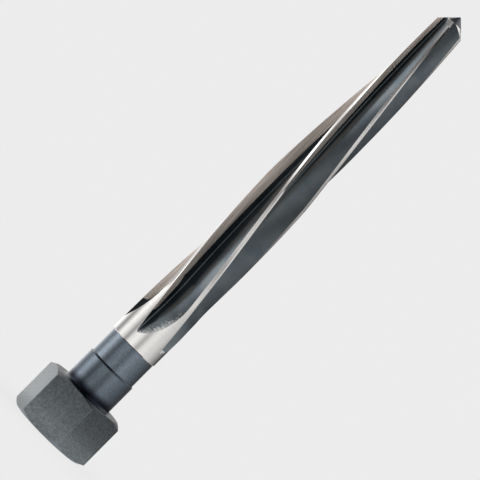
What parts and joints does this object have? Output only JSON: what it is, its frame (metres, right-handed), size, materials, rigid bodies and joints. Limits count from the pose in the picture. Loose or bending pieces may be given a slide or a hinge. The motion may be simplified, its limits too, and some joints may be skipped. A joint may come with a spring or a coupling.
{
  "type": "bridge reamer",
  "caption": "Taper-nosed bridge reamer with a hexagon drive head, stepped neck and left-hand spiral cutting teeth, for truing and aligning holes in structural steel.",
  "frame": {"origin": "centre of the flat end of the hexagon head, on the tool's axis", "axes": "+Z along the axis from the head to the point; the hexagon's front flat faces -Y"},
  "size_m": [0.0312, 0.027, 0.1836],
  "materials": {
    "tool_steel": "Blackened head, neck and flutes; bright ground guide band, lands and rake faces"
  },
  "bodies": {
    "root": {"reamer": "tool_steel"}
  },
  "joints": []
}
